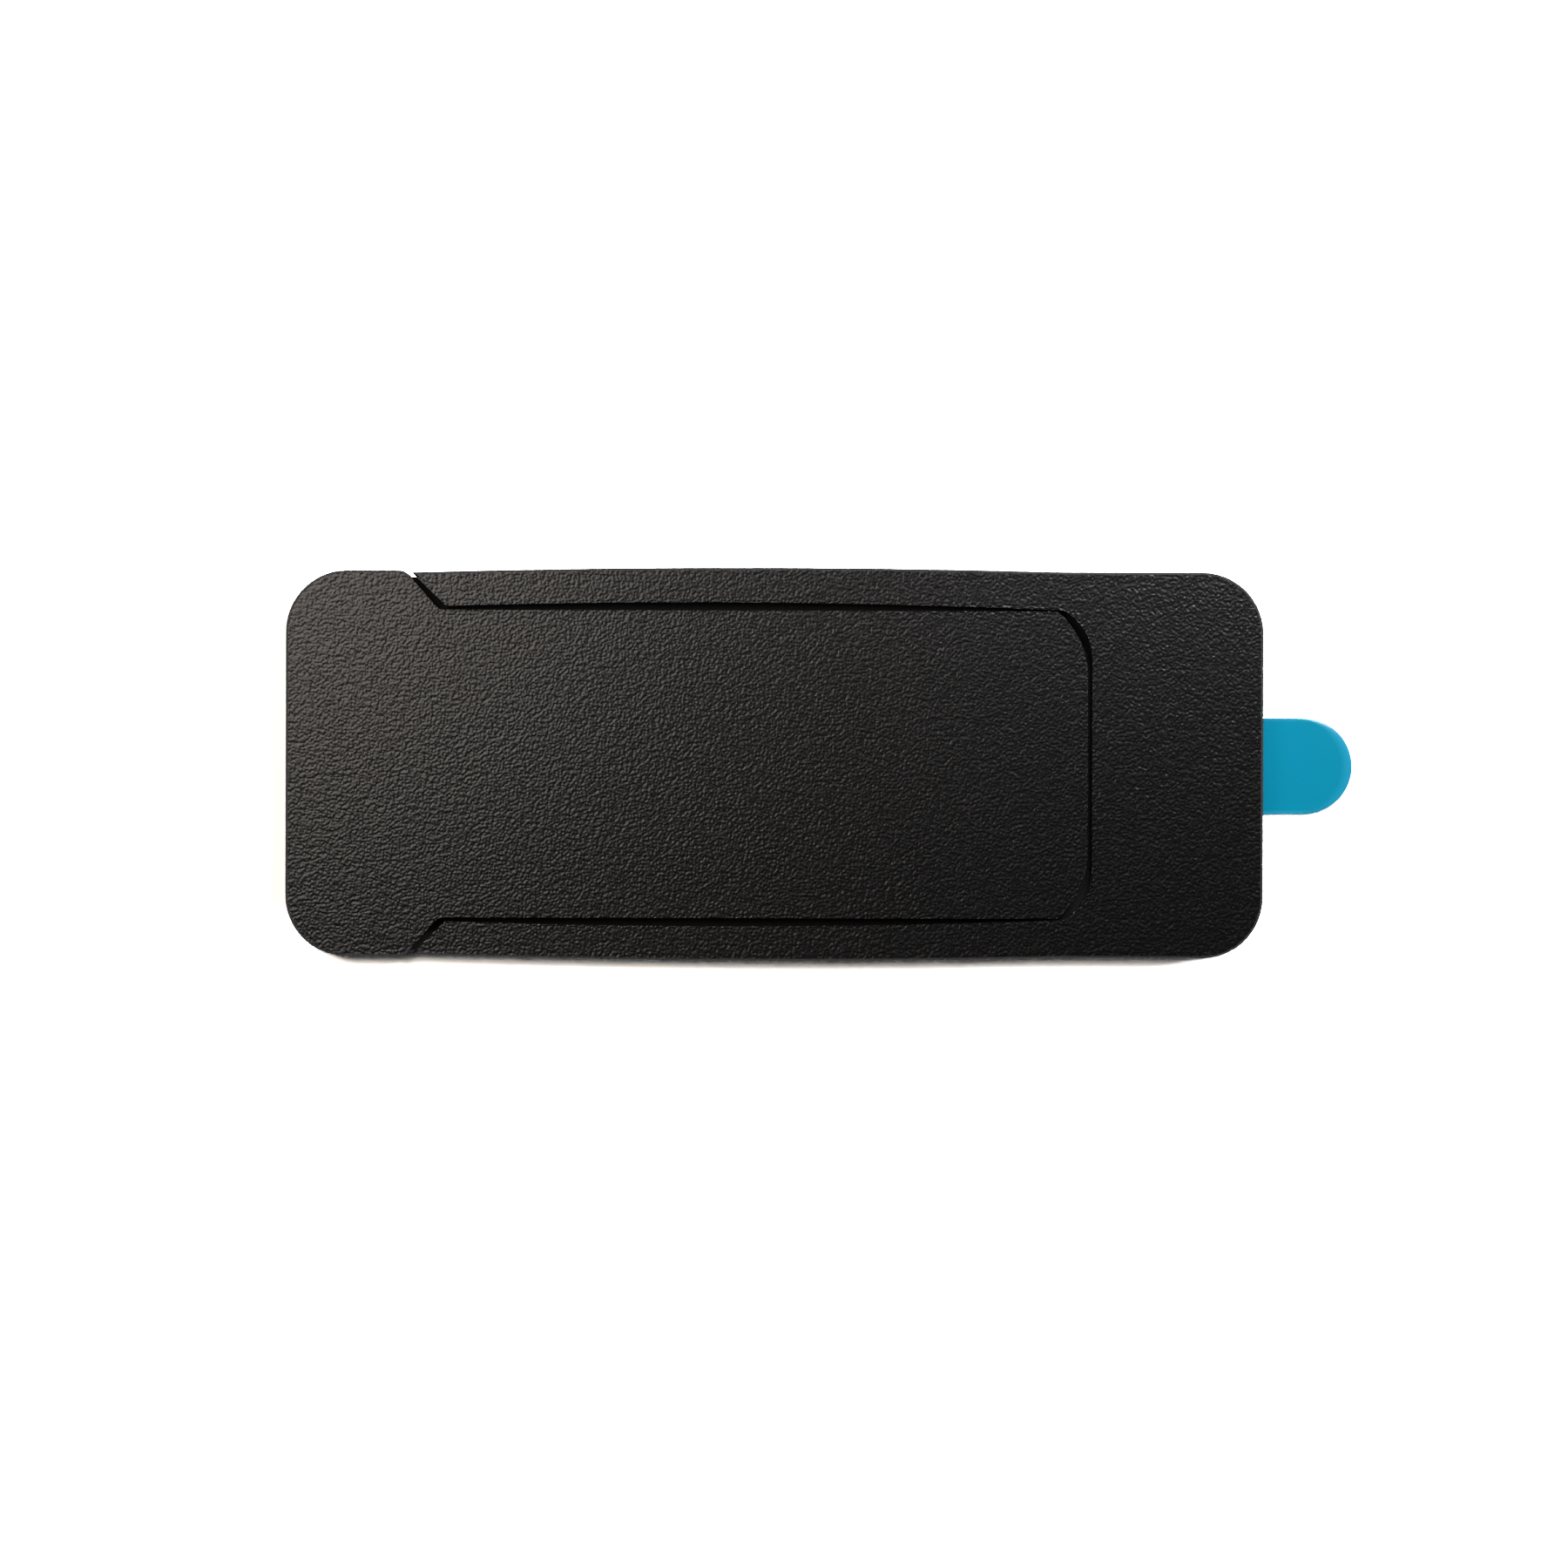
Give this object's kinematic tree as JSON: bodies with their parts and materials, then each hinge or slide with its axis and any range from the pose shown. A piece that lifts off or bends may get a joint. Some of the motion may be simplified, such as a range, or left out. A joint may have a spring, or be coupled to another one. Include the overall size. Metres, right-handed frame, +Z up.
{
  "type": "webcam cover slider",
  "caption": "Slim black sliding webcam cover: a T-shaped slider runs in the grooved prongs of a U-shaped frame, backed by adhesive tape and a blue release liner with a pull tab.",
  "frame": {"origin": "middle of the whole closed cover, pull tab included, on the underside of the release liner", "axes": "+X along the slide towards the frame's closed end and the pull tab, +Y across the cover, +Z up out of the visible face"},
  "size_m": [0.0438, 0.0162, 0.0018],
  "materials": {
    "black_abs": "fine spark-eroded texture, satin matte",
    "tape": "translucent acrylic double-sided tape",
    "blue_liner": "smooth satin blue film"
  },
  "bodies": {
    "frame": {"base_frame": "black_abs", "adhesive_tape": "tape", "release_liner": "blue_liner"},
    "slider": {"slider": "black_abs"}
  },
  "joints": [
    {"name": "slider_slide", "type": "slide", "parent": "frame", "child": "slider", "axis": [-1, 0, 0], "range_m": [0, 0.012]}
  ]
}
